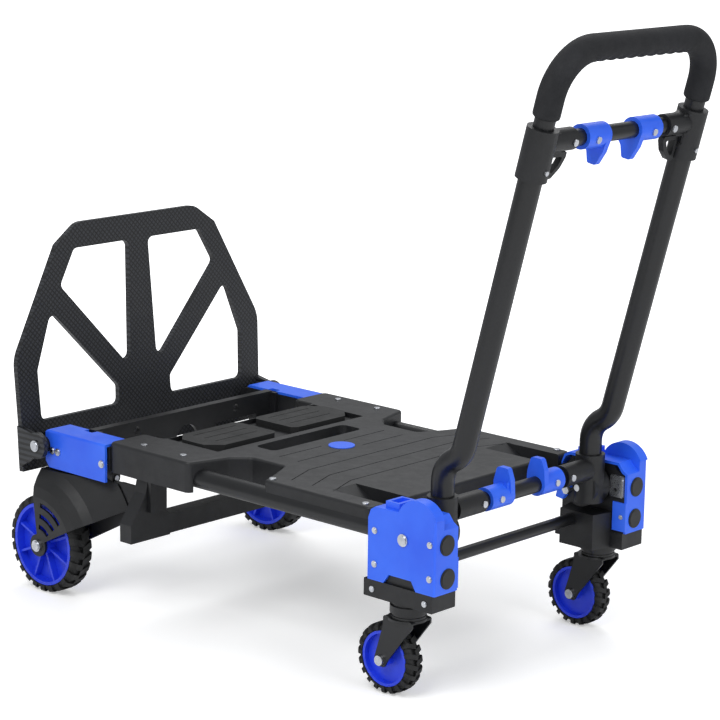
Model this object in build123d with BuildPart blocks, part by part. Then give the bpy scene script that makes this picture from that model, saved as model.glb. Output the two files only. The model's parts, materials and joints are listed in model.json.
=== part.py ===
"""Convertible hand truck: a platform cart that stands up as a two-wheel hand truck.

Frame: +X points to the handle end, +Y to the right-hand side as seen from the handle,
+Z up. The origin is on the floor, under the middle of the overall length and width.
Lengths along X are laid out as stations, measured forwards from the rear axle.
"""
from build123d import *
import os
from math import cos, radians, sin

os.makedirs("parts", exist_ok=True)

# ---------------------------------------------------------------- overall sizes
tube_y = 206.0              # side tubes, from the middle plane
tube_z = 226.0              # height of the side tubes and of the handle pivot
tube_d = 28.0
tube_wall = 2.0
fit = 0.05                  # radial running clearance of pins, axles and bolts
seat = 0.2                  # gap between moulded parts that are screwed together

# ---------------------------------------------------------------- rear wheels
wheel_d = 150.0
wheel_w = 38.0
wheel_y = 234.0
rear_rim_r = 63.0
rear_axle_d = 10.0

# ---------------------------------------------------------------- casters
caster_d = 100.0
caster_w = 28.0
caster_rim_r = 38.5
caster_station = 696.0      # swivel axis
caster_trail = 32.0
caster_axle_d = 8.0
kingpin_d = 12.0

# ---------------------------------------------------------------- deck
deck_top = 253.0
deck_bottom = 208.0
deck_wall = 4.0
deck_plate = 5.0
deck_front = 633.0
deck_rear = 168.0
arm_outer_y = 229.0
arm_inner_y = 158.0
waist_y = 142.0
front_y = 216.0
pocket_depth = 7.0          # lowered rear area that carries the bumpers
bumper_top = 256.0
slot_station = 312.0
slot_w = 40.0
slot_l = 188.0
badge_station = 378.0
badge_r = 19.5

# ---------------------------------------------------------------- toe plate
toe_pivot_station = -10.0
toe_offset = 33.0           # pivot axis to the plate's front face
toe_lean = 3.5              # how far the open plate leans back, degrees
toe_t = 9.0
toe_skin = 4.0
toe_wall = 4.0
toe_half_w = 254.0
toe_top = 320.0             # heights on the plate, measured from the pivot axis
toe_bottom = -44.0
ear_t = 8.0
toe_bolt_d = 12.0

# ---------------------------------------------------------------- rear brackets
cover_y = 236.0             # outer face of the blue rear cover
cover_t = 4.0
cover_start = -8.0
cover_end = 125.0
cover_top = 249.0
cover_low = 192.0
cover_bolt_z = 219.0
casting_end = 116.0
casting_pivot_r = 17.5
arm_pin_z = 192.0
arm_pin_d = 8.0
arm_pin_y = 206.0

# ---------------------------------------------------------------- wheel arms
arm_sheet = 3.0
arm_outer_face = 261.0
arm_front = 163.0
arm_back = -14.0
fan_start = 27.0            # the fender's two edges, degrees above the front
fan_end = 97.0

# ---------------------------------------------------------------- front brackets
bracket_back = 641.5
bracket_front = 760.0
bracket_y = 229.4           # outer face of the blue front cover
bracket_in_y = 184.0
bracket_top = 262.0
bracket_low = 160.0
bracket_t = 4.0
dome_station = 728.0
dome_r = 36.0
dome_z = 248.0
base_back = 635.0
base_front = 758.0
base_in_y = 182.0
base_low = 136.0
pivot_station = 704.0
pivot_bolt_d = 10.0
cap_d = 28.0
lower_cap_z = 180.0
rod_station = 688.0
rod_z = 175.0
rod_d = 17.0
rod_end_y = 176.0
inner_block_y = 150.0

# ---------------------------------------------------------------- handle
handle_y = 160.0
handle_d = 32.0
handle_wall = 2.0
stem_forward = 7.0          # the lower tube stands this far ahead of the pivot
stem_start = 16.0           # heights above the pivot axis
stem_end = 68.5
s_bend_r = 38.0
s_bend_angle = 60.0
handle_lean = 15.0
fitting_low = 376.0         # places along the leaning run, from its start
fitting_l = 68.0
fitting_d = 42.0
crossbar_at = 424.5
grip_at = 457.0             # lower ends of the soft grip
handle_top = 545.0          # middle of the grip's cross piece
grip_d = 36.0
grip_bend_r = 62.0
slide_gap = 0.3             # round the telescoping tube
slide_start = 30.0          # its lower end along the leaning run
hub_in_y = 147.0
hub_out_y = 181.0
hub_r = 28.0
hook_bar_d = 23.0
hook_bar_forward = 11.0
hook_bar_up = 28.0
socket_d = 32.0
socket_end_y = 88.0
upper_socket_end_y = 98.0
hook_in_y = 32.0
hook_out_y = 78.0
hook_t = 9.0
hook_reach = 38.0
hook_half_w = 15.0
hook_r = 16.5
hook_screw_y = 60.0
socket_screw_y = 96.0
trigger_at = 392.0
trigger_pin_d = 8.0
trigger_out_y = 136.0
trigger_room_y = 137.2
trigger_pin_end = 143.8

lean = radians(handle_lean)
swing = radians(s_bend_angle)
run_forward = stem_forward + s_bend_r * (1 + cos(lean) - 2 * cos(swing))
run_up = stem_end + s_bend_r * (2 * sin(swing) - sin(lean))
front_most = pivot_station + run_forward + handle_top * sin(lean) + grip_d / 2
toe_back = toe_offset + toe_t
rear_most = toe_pivot_station - toe_back * cos(radians(toe_lean)) - toe_top * sin(radians(toe_lean))
middle = (front_most + rear_most) / 2


def at(station):
    """X of a station measured forwards from the rear axle."""
    return station - middle


axle_x, axle_z = at(0), wheel_d / 2
pivot_x, pivot_z = at(pivot_station), tube_z
toe_x, toe_z = at(toe_pivot_station), tube_z
king_x, caster_x, caster_z = at(caster_station), at(caster_station - caster_trail), caster_d / 2
SIDES = {"left": -1, "right": 1}


# ---------------------------------------------------------------- small helpers
WORLD = Plane.XY
TOE = Plane(origin=(toe_x, 0, toe_z), x_dir=(cos(radians(toe_lean)), 0, sin(radians(toe_lean))),
            z_dir=(-sin(radians(toe_lean)), 0, cos(radians(toe_lean))))
PIVOT = Plane(origin=(pivot_x, 0, pivot_z), x_dir=(1, 0, 0), z_dir=(0, 0, 1))
RUN = Plane(origin=(pivot_x + run_forward, 0, pivot_z + run_up), x_dir=(cos(lean), 0, -sin(lean)),
            z_dir=(sin(lean), 0, cos(lean)))


def block(x, y, z, mode=Mode.ADD):
    """A box between two limits along each axis."""
    with Locations(((x[0] + x[1]) / 2, (y[0] + y[1]) / 2, (z[0] + z[1]) / 2)):
        Box(abs(x[1] - x[0]), abs(y[1] - y[0]), abs(z[1] - z[0]), mode=mode)


def bar_x(y, z, radius, x, mode=Mode.ADD):
    """A round bar along X."""
    with Locations(Location(((x[0] + x[1]) / 2, y, z), (0, 90, 0))):
        Cylinder(radius, abs(x[1] - x[0]), mode=mode)


def bar_y(x, z, radius, y, mode=Mode.ADD):
    """A round bar along Y."""
    with Locations(Location((x, (y[0] + y[1]) / 2, z), (90, 0, 0))):
        Cylinder(radius, abs(y[1] - y[0]), mode=mode)


def bar_z(x, y, radius, z, mode=Mode.ADD):
    """A round bar along Z."""
    with Locations((x, y, (z[0] + z[1]) / 2)):
        Cylinder(radius, abs(z[1] - z[0]), mode=mode)


def side_view(base, y):
    """The base plane's XZ section at Y, extruding towards lower Y."""
    return Plane(origin=base.from_local_coords(Vector(0, y, 0)), x_dir=base.x_dir, z_dir=-base.y_dir)


def front_view(base, x):
    """The base plane's YZ section at X, extruding towards higher X."""
    return Plane(origin=base.from_local_coords(Vector(x, 0, 0)), x_dir=base.y_dir, z_dir=base.x_dir)


def slab(points, y, base=WORLD, radius=0.0, mode=Mode.ADD):
    """A plate with a side outline (x, z), between two places along Y."""
    with BuildSketch(side_view(base, max(y))) as outline:
        with BuildLine():
            if radius > 0:
                FilletPolyline(*points, radius=radius, close=True)
            else:
                Polyline(*points, close=True)
        make_face()
    extrude(outline.sketch, amount=abs(y[1] - y[0]), mode=mode)


def floor_plan(points, z, radius=0.0, mode=Mode.ADD):
    """A plate with an outline seen from above (x, y), between two heights."""
    with BuildSketch(Plane.XY.offset(min(z))) as outline:
        with BuildLine():
            if radius > 0:
                FilletPolyline(*points, radius=radius, close=True)
            else:
                Polyline(*points, close=True)
        make_face()
    extrude(outline.sketch, amount=abs(z[1] - z[0]), mode=mode)


def finish(builder, name):
    """Label one sub-part and write it."""
    builder.part.label = name
    export_step(builder.part, f"parts/{name}.step")


def button_head(x, z, side, face_y, radius, height):
    """A low button head on an upright side face."""
    bar_y(x, z, radius, (side * face_y, side * (face_y + height / 2)))
    bar_y(x, z, radius * 0.72, (side * (face_y + height / 2), side * (face_y + height)))


# ================================================================ frame
deck_screw_stations = [177.0, 260.0, 440.0, 615.0]
deck_screw_r = 2.5
cover_bolt_stations = [8.0, 20.2, 118.0]
cover_bolt_head_r = 5.6
cover_bolt_r = 3.0
tube_back, tube_front = -4.0, 755.0
tube_r = tube_d / 2

with BuildPart() as side_tubes:
    for side in SIDES.values():
        bar_x(side * tube_y, tube_z, tube_r, (at(tube_back), at(tube_front)))
        bar_x(side * tube_y, tube_z, tube_r - tube_wall, (at(tube_back - 1), at(tube_front + 1)),
              mode=Mode.SUBTRACT)
        bar_y(pivot_x, pivot_z, pivot_bolt_d / 2 + fit, (side * (tube_y - 20), side * (tube_y + 20)),
              mode=Mode.SUBTRACT)
        for station in deck_screw_stations:
            bar_z(at(station), side * tube_y, deck_screw_r + fit, (tube_z, tube_z + 20), mode=Mode.SUBTRACT)
finish(side_tubes, "side_tubes")

# ---- deck: a moulded shell, open underneath, with saddles that sit on the tubes
arm_back_edge = 126.0
waist_back, waist_front = 334.0, 400.0
deck_half = [(arm_back_edge, arm_outer_y), (293, arm_outer_y), (311, 165), (waist_back, waist_y),
             (waist_front, waist_y), (420, 183), (433, front_y), (deck_front, front_y)]
deck_outline = [(at(s), y) for s, y in deck_half]
deck_outline += [(x, -y) for x, y in reversed(deck_outline)]
deck_outline += [(at(arm_back_edge), -arm_inner_y), (at(deck_rear), -arm_inner_y),
                 (at(deck_rear), arm_inner_y), (at(arm_back_edge), arm_inner_y)]
nose_back = 123.0
scallop_y = (139.0, 187.0)
scallop_floor = 212.0
scallop_flat, scallop_back = 608.0, 533.0
bumper_y = (17.0, 150.0)
bumper_s = (176.0, 265.0)
pocket_front = 278.0
pocket_half_w = 155.0
saddle_stations = [150.0, 250.0, 460.0, 540.0, 620.0]
saddle_l = 10.0
rib_t = 3.0
deck_round = 4.0
groove_w = 1.6
groove_depth = 1.2
groove_bend_y = 132.0
short_grooves = [360.0, 397.0]      # straight, either side of the badge
long_grooves = [439.0, 479.0, 519.0]    # their ends turn forward
bumper_grooves = [192.0, 215.0, 238.0]
skirt_notches = [(482.0, 497.0, 214.0), (506.0, 526.0, 217.0), (530.0, 553.0, 213.0)]

with BuildPart() as deck:
    floor_plan(deck_outline, (deck_bottom, deck_top), radius=9)
    fillet(deck.faces().sort_by(Axis.Z)[-1].edges(), radius=deck_round)
    with BuildSketch(Plane.XY.offset(deck_bottom)) as hollow:
        with BuildLine():
            FilletPolyline(*deck_outline, radius=9, close=True)
        make_face()
        offset(amount=-deck_wall, mode=Mode.REPLACE)
    extrude(hollow.sketch, amount=deck_top - deck_plate - deck_bottom, mode=Mode.SUBTRACT)
    # thickened floor under the lowered rear area
    block((at(deck_rear + 1), at(pocket_front + 5)), (-pocket_half_w - 3, pocket_half_w + 3),
          (deck_top - pocket_depth - deck_plate, deck_top - deck_plate))
    # ribs across the underside
    for station in [230.0, 430.0, 500.0, 570.0]:
        block((at(station), at(station + rib_t)), (-waist_y + 2, waist_y - 2), (deck_bottom + 14, deck_top - deck_plate))
    for y in (-70.0, 0.0, 70.0):
        block((at(deck_rear + 2), at(slot_station - 24)), (y - rib_t / 2, y + rib_t / 2),
              (deck_bottom + 14, deck_top - pocket_depth - deck_plate))
        block((at(slot_station + 24), at(deck_front - 2)), (y - rib_t / 2, y + rib_t / 2),
              (deck_bottom + 14, deck_top - deck_plate))
    for side in SIDES.values():
        for station in saddle_stations:
            block((at(station), at(station + saddle_l)), (side * (tube_y - 20), side * (front_y - 1)),
                  (deck_bottom + 8, deck_top - deck_plate))
        for station in deck_screw_stations:
            bar_z(at(station), side * tube_y, 7, (tube_z + 8, deck_top - deck_plate))
        # nose that tucks under the rear cover
        block((at(nose_back), at(arm_back_edge + 2)), (side * (tube_y - 16), side * arm_outer_y),
              (deck_bottom + 2, cover_top - cover_t - seat))
        # channels that clear the folded handle
        block((at(scallop_back - 6), at(deck_front - 1)), (side * (scallop_y[0] - 4), side * (scallop_y[1] + 4)),
              (deck_bottom, deck_top - deck_plate))
        slab([(at(deck_front + 1), deck_top + 1), (at(deck_front + 1), scallop_floor),
              (at(scallop_flat), scallop_floor), (at(scallop_back), deck_top + 1)],
             (side * scallop_y[0], side * scallop_y[1]), mode=Mode.SUBTRACT)
        # openings in the front wall that the tubes pass through
        bar_x(side * tube_y, tube_z, tube_r + fit, (at(nose_back - 1), at(deck_front + 1)), mode=Mode.SUBTRACT)
        block((at(nose_back - 1), at(deck_front + 1)), (side * (tube_y - tube_r - fit), side * (tube_y + tube_r + fit)),
              (deck_bottom - 1, tube_z), mode=Mode.SUBTRACT)
        for station in deck_screw_stations:
            bar_z(at(station), side * tube_y, deck_screw_r + fit, (tube_z, deck_top + 1), mode=Mode.SUBTRACT)
        for first, last, top in skirt_notches:
            block((at(first), at(last)), (side * (front_y - deck_wall - 1), side * (front_y + 1)),
                  (deck_bottom - 1, top), mode=Mode.SUBTRACT)
    block((at(deck_rear + 5), at(pocket_front)), (-pocket_half_w, pocket_half_w),
          (deck_top - pocket_depth, deck_top + 1), mode=Mode.SUBTRACT)
    # shallow grooves across the top
    with BuildSketch(Plane.XY.offset(deck_top - groove_depth)) as grooves:
        for station in short_grooves:
            for side in SIDES.values():
                with Locations((at(station), side * 68)):
                    Rectangle(groove_w, 88)
        for station in long_grooves:
            with Locations((at(station), 0)):
                Rectangle(groove_w, 2 * groove_bend_y)
            for side in SIDES.values():
                with BuildLine():
                    Polyline((at(station) - groove_w / 2, side * groove_bend_y), (at(station + 21), side * (groove_bend_y + 58)),
                             (at(station + 21) + groove_w, side * (groove_bend_y + 58)),
                             (at(station) + groove_w / 2, side * groove_bend_y), close=True)
                make_face()
    extrude(grooves.sketch, amount=groove_depth + 1, mode=Mode.SUBTRACT)
    # hand slot with its wall
    with BuildSketch(Plane.XY.offset(deck_bottom + 6)) as slot_wall:
        with Locations((at(slot_station), 0)):
            RectangleRounded(slot_w + 2 * deck_wall, slot_l + 2 * deck_wall, 14)
    extrude(slot_wall.sketch, amount=deck_top - deck_plate - deck_bottom - 6)
    with BuildSketch(Plane.XY.offset(deck_bottom - 1)) as slot:
        with Locations((at(slot_station), 0)):
            RectangleRounded(slot_w, slot_l, 10)
    extrude(slot.sketch, amount=deck_top - deck_bottom + 2, mode=Mode.SUBTRACT)
finish(deck, "deck")

bumper_seat_z = deck_top - pocket_depth
with BuildPart() as deck_bumpers:
    s0, s1 = bumper_s
    y0, y1 = bumper_y
    for side in SIDES.values():
        floor_plan([(at(s0), side * (y0 + 8)), (at(s0), side * (y1 - 22)), (at(s0 + 22), side * y1),
                    (at(s1 - 22), side * y1), (at(s1), side * (y1 - 22)), (at(s1), side * (y0 + 8)),
                    (at(s1 - 8), side * y0), (at(s0 + 8), side * y0)], (bumper_seat_z, bumper_top), radius=4)
        for line in bumper_grooves:
            block((at(line), at(line + groove_w)), (side * (y0 + 18), side * (y1 - 28)),
                  (bumper_top - groove_depth, bumper_top + 1), mode=Mode.SUBTRACT)
finish(deck_bumpers, "deck_bumpers")

with BuildPart() as deck_badge:
    bar_z(at(badge_station), 0, badge_r, (deck_top, deck_top + 1.2))
    fillet(deck_badge.faces().sort_by(Axis.Z)[-1].edges(), radius=0.5)
finish(deck_badge, "deck_badge")

with BuildPart() as deck_screws:
    for side in SIDES.values():
        for station in deck_screw_stations:
            bar_z(at(station), side * tube_y, deck_screw_r, (tube_z + tube_r - 5, deck_top))
            bar_z(at(station), side * tube_y, 5.0, (deck_top, deck_top + 2.2))
    fillet(deck_screws.faces().group_by(Axis.Z)[-1].edges(), radius=0.8)
finish(deck_screws, "deck_screws")

# ---- rear brackets
casting_y = (188.0, cover_y - cover_t - seat)
casting_z = (207.0, cover_top - cover_t - seat)
lug_stations = [(-14.0, 6.0), (41.0, 61.0), (96.0, 116.0)]
knuckle_gap = 0.5
lug_r = 8.0
toe_boss_end = toe_half_w - ear_t - 0.3

with BuildPart() as rear_castings:
    for side in SIDES.values():
        a, b = side * casting_y[0], side * casting_y[1]
        slab([(toe_x, casting_z[0]), (at(casting_end), casting_z[0]), (at(casting_end), casting_z[1]),
              (at(cover_start + 2), casting_z[1]), (at(cover_start), toe_z + 14), (toe_x, toe_z + 14)], (a, b))
        bar_y(toe_x, toe_z, casting_pivot_r, (a, b))
        bar_y(toe_x, toe_z, 12, (b, side * toe_boss_end))
        for first, last in lug_stations:
            block((at(first), at(last)), (side * (arm_pin_y - lug_r), side * (arm_pin_y + lug_r)),
                  (arm_pin_z, casting_z[0] + 1))
            bar_x(side * arm_pin_y, arm_pin_z, lug_r, (at(first), at(last)))
        bar_x(side * arm_pin_y, arm_pin_z, arm_pin_d / 2 + fit, (at(-40), at(120)), mode=Mode.SUBTRACT)
        bar_x(side * tube_y, tube_z, tube_r + fit, (at(tube_back - fit), at(120)), mode=Mode.SUBTRACT)
        bar_y(toe_x, toe_z, toe_bolt_d / 2 + fit, (side * 180, side * 260), mode=Mode.SUBTRACT)
        for station in cover_bolt_stations:
            bar_y(at(station), cover_bolt_z, cover_bolt_r + fit, (side * 221, side * 240), mode=Mode.SUBTRACT)
finish(rear_castings, "rear_castings")


def rear_cover(side):
    """The moulded cover over one rear casting: outer wall, top and a rear return."""
    outer, inner = side * cover_y, side * (cover_y - cover_t)
    with BuildPart() as cover:
        slab([(at(cover_start), cover_low + 9), (at(cover_start + 8), cover_low), (at(cover_end), cover_low),
              (at(cover_end), cover_top), (at(cover_start + 3), cover_top), (at(cover_start), cover_top - 3)],
             (outer, side * 190))
        block((at(cover_start) - 1, at(cover_end) + 1), (side * 189, inner), (cover_low - 2, cover_top - cover_t),
              mode=Mode.SUBTRACT)
        block((at(38), at(56)), (side * 189, side * 200), (cover_top - 6, cover_top + 1), mode=Mode.SUBTRACT)
        top_edges = cover.edges().filter_by(Axis.X).filter_by(
            lambda e: abs(abs(e.center().Y) - cover_y) < 0.01 and e.center().Z > cover_top - 0.1)
        fillet(top_edges, radius=3.4)
        bar_y(toe_x, toe_z, 12.6, (side * 225, side * 250), mode=Mode.SUBTRACT)
        for station in cover_bolt_stations:
            bar_y(at(station), cover_bolt_z, cover_bolt_r + fit, (side * 221, side * 240), mode=Mode.SUBTRACT)
    return cover


for name, side in SIDES.items():
    finish(rear_cover(side), f"rear_cover_{name}")

with BuildPart() as frame_bolts:
    for side in SIDES.values():
        for station in cover_bolt_stations:
            bar_y(at(station), cover_bolt_z, cover_bolt_r, (side * 222, side * cover_y))
            button_head(at(station), cover_bolt_z, side, cover_y, cover_bolt_head_r, 3.4)
finish(frame_bolts, "frame_bolts")

cross_s = (44.0, 50.0)
cross_low, cross_top = 197.0, 249.0
with BuildPart() as rear_cross_member:
    half = casting_y[0] - seat
    block((at(cross_s[0]), at(cross_s[1])), (-half, half), (cross_low, cross_top))
    block((at(cross_s[0] - 8), at(cross_s[1])), (-half, half), (cross_top - 6, cross_top))
    for side in SIDES.values():
        block((at(cross_s[0] - 12), at(cross_s[1] + 12)), (side * (half - 5), side * half), (210, 248))
        block((at(cross_s[0]) - 15, at(cross_s[1]) + 15), (side * 60, side * 150), (cross_low - 1, 218), mode=Mode.SUBTRACT)
        bar_x(side * 105, 235, 6, (at(cross_s[0]) - 1, at(cross_s[1]) + 1), mode=Mode.SUBTRACT)
    bar_x(0, cross_low + 6, 23, (at(cross_s[0]) - 1, at(cross_s[1]) + 1), mode=Mode.SUBTRACT)
finish(rear_cross_member, "rear_cross_member")

with BuildPart() as toe_pivot_bolts:
    for side in SIDES.values():
        bar_y(toe_x, toe_z, toe_bolt_d / 2, (side * casting_y[0], side * (toe_half_w + 0.4)))
        bar_y(toe_x, toe_z, 8.5, (side * (toe_half_w + 0.4), side * (toe_half_w + 3)))
        bar_y(toe_x, toe_z, 6.5, (side * (toe_half_w + 3), side * (toe_half_w + 4.2)))
finish(toe_pivot_bolts, "toe_pivot_bolts")

with BuildPart() as arm_hinge_pins:
    for side in SIDES.values():
        bar_x(side * arm_pin_y, arm_pin_z, arm_pin_d / 2, (at(-16), at(118)))
finish(arm_hinge_pins, "arm_hinge_pins")

# ---- carrier beam under the deck's rear edge
with BuildPart() as carrier_beam:
    s0, s1 = 178.0, 202.0
    block((at(s0), at(s1)), (-180, 180), (120, 150))
    block((at(s0 + 3), at(s1 - 3)), (-170, 170), (119, 147), mode=Mode.SUBTRACT)
    block((at(s0), at(s0 + 3)), (-180, 180), (120, 150))
    for side in SIDES.values():
        with BuildSketch(front_view(WORLD, at(s0))) as shoe:
            with BuildLine():
                Polyline((side * 178, 118), (side * 255, 118), (side * 255, 145), (side * 226, 188),
                         (side * 222, 206), (side * 190, 206), (side * 190, 160), (side * 178, 150), close=True)
            make_face()
        extrude(shoe.sketch, amount=s1 - s0)
        block((at(s0 + 8), at(s1 + 6)), (side * 190, side * 222), (160, 238))
        bar_x(side * tube_y, tube_z, tube_r + fit, (at(s0 - 1), at(s1 + 8)), mode=Mode.SUBTRACT)
finish(carrier_beam, "carrier_beam")

# ---- front brackets
tower_y = (bracket_in_y, bracket_y - bracket_t - seat)
tower_front = bracket_front - bracket_t - seat
tower_back = 645.0
tower_top = bracket_top - bracket_t - seat
base_z = (base_low, 160.0)
rivet_places = [(653.7, 229.0), (750.8, 229.0), (653.7, 182.6), (750.8, 182.6)]
base_rivet_stations = [650.0, 743.0]
rivet_r = 2.2
plug_r = 9.0
plug_depth = 8.0
inner_block = (660.0, 735.0)
inner_block_top = 188.0

with BuildPart() as caster_blocks:
    for side in SIDES.values():
        block((at(base_back), at(tower_front)), (side * base_in_y, side * bracket_y), base_z)
        slab([(at(tower_back), base_z[0]), (at(tower_front), base_z[0]), (at(tower_front), 243), (at(741), 251),
              (at(736), tower_top), (at(662), tower_top), (at(tower_back), 238)], (side * tower_y[0], side * tower_y[1]))
        floor_plan([(at(inner_block[0]), side * (bracket_in_y + 1)), (at(inner_block[0] + 8), side * inner_block_y),
                    (at(inner_block[1] - 8), side * inner_block_y), (at(inner_block[1]), side * (bracket_in_y + 1))],
                   (base_z[0], inner_block_top), radius=0)
        bar_x(side * tube_y, tube_z, tube_r + fit, (at(base_back), at(tube_front)), mode=Mode.SUBTRACT)
        bar_x(side * tube_y, tube_z, plug_r + fit, (at(tube_front - 3), at(tower_front + 1)), mode=Mode.SUBTRACT)
        bar_x(side * (tube_y - 2), lower_cap_z, plug_r + fit,
              (at(tower_front - plug_depth), at(tower_front + 1)), mode=Mode.SUBTRACT)
        bar_y(pivot_x, pivot_z, pivot_bolt_d / 2 + fit, (side * 180, side * 235), mode=Mode.SUBTRACT)
        bar_z(king_x, side * tube_y, kingpin_d / 2 + fit, (base_low - 1, base_low + 14), mode=Mode.SUBTRACT)
        bar_y(at(rod_station), rod_z, rod_d / 2 + fit, (side * (inner_block_y - 1), side * rod_end_y),
              mode=Mode.SUBTRACT)
        for station, z in rivet_places:
            bar_y(at(station), z, rivet_r + fit, (side * 214, side * 235), mode=Mode.SUBTRACT)
        for station in base_rivet_stations:
            bar_y(at(station), 147, rivet_r + fit, (side * 214, side * 235), mode=Mode.SUBTRACT)
        for z in (184.0, 236.0):
            bar_y(at(752), z, 1.6 + fit, (side * 180, side * 196), mode=Mode.SUBTRACT)
finish(caster_blocks, "caster_blocks")


front_outline = [(bracket_back, bracket_low), (670, bracket_low), (679, 173), (719, 173), (727, bracket_low),
                 (bracket_front, bracket_low), (bracket_front, 247), (752, 252), (744, bracket_top), (654, bracket_top),
                 (646, 257), (bracket_back, 245)]


def front_cover(side):
    """The moulded cover of one front bracket: outer wall, top, front flange and dome."""
    outer, inner = side * bracket_y, side * (bracket_y - bracket_t)
    inside = [(at(bracket_back) - 1, bracket_low - 8), (at(bracket_front - bracket_t), bracket_low - 8),
              (at(bracket_front - bracket_t), 245), (at(750), 248), (at(742), bracket_top - bracket_t),
              (at(656), bracket_top - bracket_t), (at(649), 254.5), (at(bracket_back) - 1, 239)]
    with BuildPart() as cover:
        slab([(at(x), z) for x, z in front_outline], (side * bracket_in_y, outer))
        slab(inside, (side * (bracket_in_y - 1), inner), mode=Mode.SUBTRACT)
        # return tab on the inner side, below the lock plate
        block((at(737), at(bracket_front)), (side * (bracket_in_y - 2), side * bracket_in_y), (163, 205))
        # dome that rises over the pivot screw
        bar_y(at(dome_station), dome_z, dome_r, (side * 212, outer))
        slab(inside, (side * 205, inner), mode=Mode.SUBTRACT)
        block((at(bracket_front), at(bracket_front + 20)), (side * 200, side * (bracket_y + 1)),
              (bracket_low, bracket_top), mode=Mode.SUBTRACT)
        # raised slotted block on the top
        block((at(666), at(690)), (side * 190, side * 222), (bracket_top - 1, 271))
        block((at(671), at(685)), (side * 194, side * 218), (bracket_top + 3, 272), mode=Mode.SUBTRACT)
        bar_y(pivot_x, pivot_z, pivot_bolt_d / 2 + fit, (side * 220, side * 235), mode=Mode.SUBTRACT)
        bar_x(side * tube_y, tube_z, plug_r + fit, (at(bracket_front - 6), at(bracket_front + 1)), mode=Mode.SUBTRACT)
        bar_x(side * (tube_y - 2), lower_cap_z, plug_r + fit,
              (at(bracket_front - 6), at(bracket_front + 1)), mode=Mode.SUBTRACT)
        for station, z in rivet_places:
            bar_y(at(station), z, rivet_r + fit, (side * 214, side * 235), mode=Mode.SUBTRACT)
        bar_y(at(752), 184, 1.6 + fit, (side * 180, side * 196), mode=Mode.SUBTRACT)
        edges = cover.edges().filter_by(Axis.Z).filter_by(
            lambda e: abs(abs(e.center().Y) - bracket_y) < 0.01 and e.center().X > at(bracket_front) - 0.1)
        fillet(edges, radius=3)
    return cover


for name, side in SIDES.items():
    finish(front_cover(side), f"front_cover_{name}")

with BuildPart() as tube_end_caps:
    for side in SIDES.values():
        for y, z in ((tube_y, tube_z), (tube_y - 2, lower_cap_z)):
            bar_x(side * y, z, cap_d / 2, (at(bracket_front), at(bracket_front + 1.2)))
            bar_x(side * y, z, cap_d / 2 - 2, (at(bracket_front + 1.2), at(bracket_front + 1.8)))
            bar_x(side * y, z, plug_r, (at(tower_front - plug_depth + 3.5), at(bracket_front)))
finish(tube_end_caps, "tube_end_caps")

lock_plate_s = (731.0, 759.0)
lock_plate_z = (212.0, 244.0)
with BuildPart() as lock_plates:
    for side in SIDES.values():
        slab([(at(lock_plate_s[0]), lock_plate_z[0]), (at(lock_plate_s[1] - 4), lock_plate_z[0]),
              (at(lock_plate_s[1] - 4), lock_plate_z[1]), (at(lock_plate_s[0]), lock_plate_z[1])],
             (side * (bracket_in_y - 2), side * bracket_in_y), radius=3)
        bar_y(at(740), 222, 3.5, (side * 180, side * 186), mode=Mode.SUBTRACT)
        bar_y(at(752), 236, 1.6 + fit, (side * 180, side * 186), mode=Mode.SUBTRACT)
finish(lock_plates, "lock_plates")

with BuildPart() as bracket_rivets:
    for side in SIDES.values():
        for station, z in rivet_places:
            bar_y(at(station), z, rivet_r, (side * 221, side * bracket_y))
            button_head(at(station), z, side, bracket_y, 4.6, 2.2)
        for station in base_rivet_stations:
            bar_y(at(station), 147, rivet_r, (side * 221, side * bracket_y))
            button_head(at(station), 147, side, bracket_y, 4.2, 2.0)
        for z in (184.0, 236.0):
            bar_y(at(752), z, 1.6, (side * (bracket_in_y - 2), side * 195))
            button_head(at(752), z, -side, -(bracket_in_y - 2), 3.4, 1.0)
finish(bracket_rivets, "bracket_rivets")

with BuildPart() as handle_pivot_bolts:
    for side in SIDES.values():
        bar_y(pivot_x, pivot_z, pivot_bolt_d / 2, (side * (hub_in_y - 7), side * bracket_y))
        bar_y(pivot_x, pivot_z, 8.5, (side * bracket_y, side * (bracket_y + 2)))
        bar_y(pivot_x, pivot_z, 6.5, (side * (bracket_y + 2), side * (bracket_y + 3.6)))
finish(handle_pivot_bolts, "handle_pivot_bolts")

with BuildPart() as front_cross_rod:
    bar_y(at(rod_station), rod_z, rod_d / 2, (-rod_end_y, rod_end_y))
    bar_y(at(rod_station), rod_z, rod_d / 2 - 2, (-rod_end_y - 1, rod_end_y + 1), mode=Mode.SUBTRACT)
finish(front_cross_rod, "front_cross_rod")

race_r = 26.0
race_low = 118.0
with BuildPart() as caster_races:
    for side in SIDES.values():
        bar_z(king_x, side * tube_y, race_r, (race_low + 4, base_low - 4))
        bar_z(king_x, side * tube_y, race_r - 3, (race_low, base_low))
        bar_z(king_x, side * tube_y, kingpin_d / 2 + fit, (race_low - 1, base_low + 1), mode=Mode.SUBTRACT)
finish(caster_races, "caster_races")

# ================================================================ toe plate
toe_half = [(toe_half_w - 1, toe_bottom), (toe_half_w - 3, 25), (toe_half_w, 128), (165, 290), (122, toe_top)]
toe_corner_r = [55.0, 34.0]     # at the shoulders and at the top corners
upper_hole = [(28, 82), (162, 227), (131, 281), (20, 281)]
lower_hole = [(55, 28), (212, 28), (215, 105), (183, 192), (54, 57)]
ear_r = 20.0
toe_hole_r = 10.0


def toe_outline():
    """The closed outline of the plate, as (y, height) points."""
    outline = [(-y, u) for y, u in toe_half]
    return outline + [(y, u) for y, u in reversed(toe_half)]


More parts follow.
